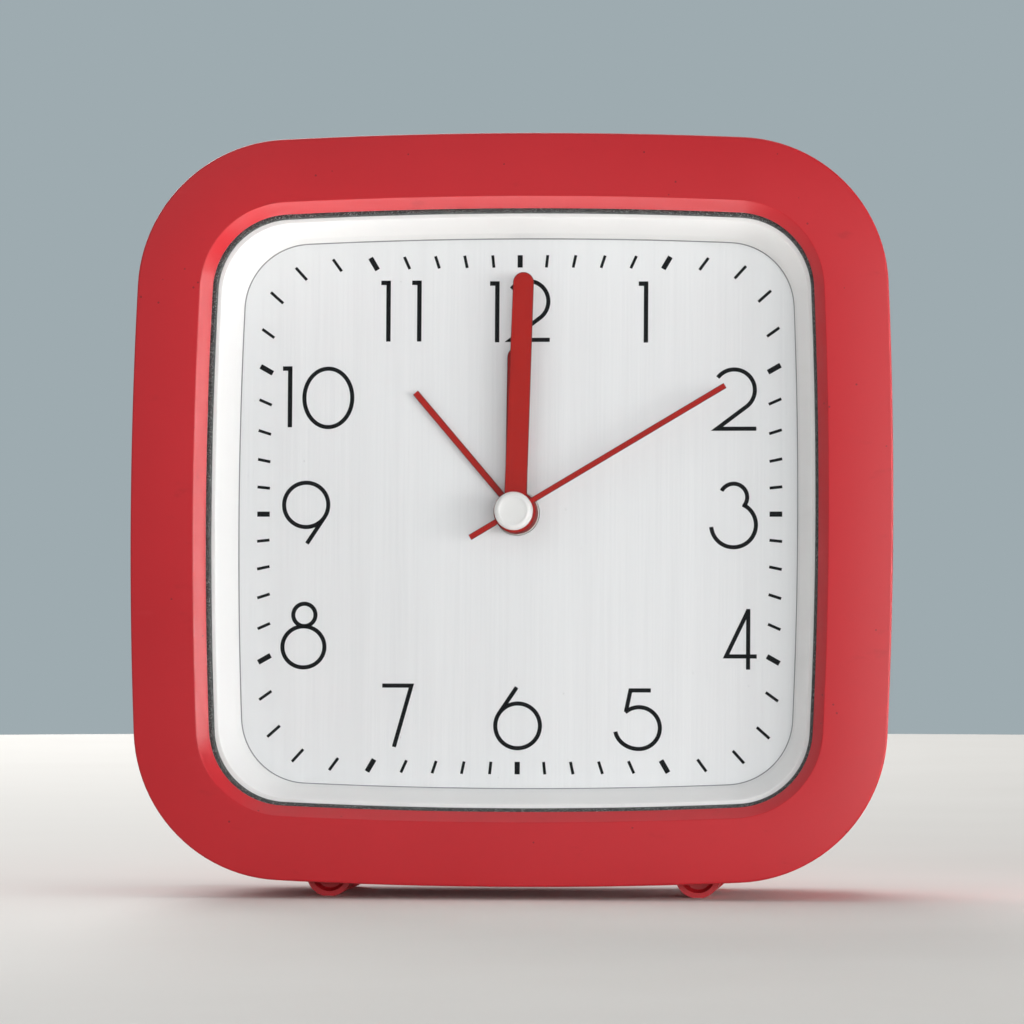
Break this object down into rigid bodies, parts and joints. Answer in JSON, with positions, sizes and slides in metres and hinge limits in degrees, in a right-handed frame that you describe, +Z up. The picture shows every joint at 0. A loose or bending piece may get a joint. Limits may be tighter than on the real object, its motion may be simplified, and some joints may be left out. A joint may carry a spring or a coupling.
{
  "type": "bedside alarm clock",
  "caption": "Square bedside quartz alarm clock with bowed sides, a wide flat frame, recessed dial ring, blade hands and rear setting knobs; gear train, battery and alarm switch inside.",
  "frame": {"origin": "bottom centre of the bounding box: on the table plane that the four feet stand on", "axes": "+Z up, +Y towards the back of the clock, so the dial faces -Y; the clock leans back 3.4 degrees"},
  "size_m": [0.117, 0.0473, 0.117],
  "materials": {
    "frame_red": "matte",
    "shell_red": "satin",
    "lens_clear": "polished",
    "gasket": "matte",
    "white_plastic": "gloss",
    "dial_silver": "satin",
    "hand_red": "satin",
    "black_plastic": "matte",
    "gear_plastic": "satin",
    "steel": "satin",
    "magnet": "satin",
    "copper": "satin",
    "spring_brass": "satin",
    "board_green": "satin",
    "cell_jacket": "satin"
  },
  "bodies": {
    "case": {"front_bezel": "frame_red", "lens": "lens_clear", "lens_gasket": "gasket", "dial_ring": "white_plastic", "dial": "dial_silver", "dial_carrier": "white_plastic", "rear_case": "shell_red", "case_screws": "steel", "movement_front": "black_plastic", "movement_rear": "black_plastic", "movement_screws": "steel", "stator": "steel", "coil_core": "steel", "coil_bobbin": "white_plastic", "coil_winding": "copper", "circuit_board": "board_green", "quartz_crystal": "steel", "driver_chip": "black_plastic", "buzzer": "black_plastic", "alarm_contact": "spring_brass", "battery": "cell_jacket", "positive_contact": "steel", "negative_contact": "steel"},
    "going_seconds": {"second_hand": "hand_red", "hub_cap": "white_plastic", "seconds_wheel": "gear_plastic"},
    "rotor": {"rotor_pinion": "gear_plastic", "rotor_magnet": "magnet"},
    "fifth": {"fifth_wheel": "gear_plastic"},
    "third": {"third_wheel": "gear_plastic"},
    "centre": {"centre_wheel": "gear_plastic"},
    "minutes": {"minute_hand": "hand_red", "cannon_pinion": "gear_plastic", "clutch_washer": "spring_brass"},
    "time_setting": {"motion_wheel": "gear_plastic", "time_knob": "black_plastic"},
    "hours": {"hour_hand": "hand_red", "hour_wheel": "gear_plastic"},
    "alarm": {"alarm_hand": "hand_red", "alarm_wheel": "gear_plastic"},
    "alarm_setting": {"alarm_shaft": "gear_plastic", "alarm_knob": "black_plastic"},
    "switch": {"alarm_switch": "black_plastic"},
    "door": {"battery_door": "shell_red"}
  },
  "joints": [
    {"name": "second_turn", "type": "hinge", "parent": "case", "child": "going_seconds", "pos_m": [0, -0.00854, 0.05881], "axis": [0, 0.9982, -0.0592], "continuous": true},
    {"name": "rotor_turn", "type": "hinge", "parent": "case", "child": "rotor", "pos_m": [0.01017, -0.008, 0.06793], "axis": [0, 0.9982, -0.0592], "continuous": true},
    {"name": "fifth_turn", "type": "hinge", "parent": "case", "child": "fifth", "pos_m": [0.00438, -0.00809, 0.06638], "axis": [0, 0.9982, -0.0592], "continuous": true},
    {"name": "third_turn", "type": "hinge", "parent": "case", "child": "third", "pos_m": [-0.00425, -0.0081, 0.06616], "axis": [0, 0.9982, -0.0592], "continuous": true},
    {"name": "centre_turn", "type": "hinge", "parent": "case", "child": "centre", "pos_m": [0, -0.00854, 0.05881], "axis": [0, 0.9982, -0.0592], "continuous": true},
    {"name": "minute_turn", "type": "hinge", "parent": "case", "child": "minutes", "pos_m": [0, -0.00854, 0.05881], "axis": [0, 0.9982, -0.0592], "continuous": true},
    {"name": "time_setting_turn", "type": "hinge", "parent": "case", "child": "time_setting", "pos_m": [0.00849, -0.00872, 0.05582], "axis": [0, 0.9982, -0.0592], "continuous": true},
    {"name": "hour_turn", "type": "hinge", "parent": "case", "child": "hours", "pos_m": [0, -0.00854, 0.05881], "axis": [0, 0.9982, -0.0592], "continuous": true},
    {"name": "alarm_turn", "type": "hinge", "parent": "case", "child": "alarm", "pos_m": [0, -0.00854, 0.05881], "axis": [0, 0.9982, -0.0592], "continuous": true},
    {"name": "alarm_setting_turn", "type": "hinge", "parent": "case", "child": "alarm_setting", "pos_m": [-0.01162, -0.00872, 0.05582], "axis": [0, 0.9982, -0.0592], "continuous": true},
    {"name": "alarm_switch_slide", "type": "slide", "parent": "case", "child": "switch", "axis": [1, 0, 0], "range_m": [0, 0.004]},
    {"name": "battery_door_pull", "type": "slide", "parent": "case", "child": "door", "axis": [0, 0.9982, -0.0592], "range_m": [0, 0.018]}
  ],
  "couplings": [
    {"joint": "rotor_turn", "follows": "second_turn", "ratio": 30},
    {"joint": "fifth_turn", "follows": "second_turn", "ratio": -6},
    {"joint": "third_turn", "follows": "second_turn", "ratio": -0.13333},
    {"joint": "centre_turn", "follows": "second_turn", "ratio": 0.016667},
    {"joint": "time_setting_turn", "follows": "minute_turn", "ratio": -0.33333},
    {"joint": "hour_turn", "follows": "minute_turn", "ratio": 0.083333},
    {"joint": "alarm_setting_turn", "follows": "alarm_turn", "ratio": -1.5}
  ]
}
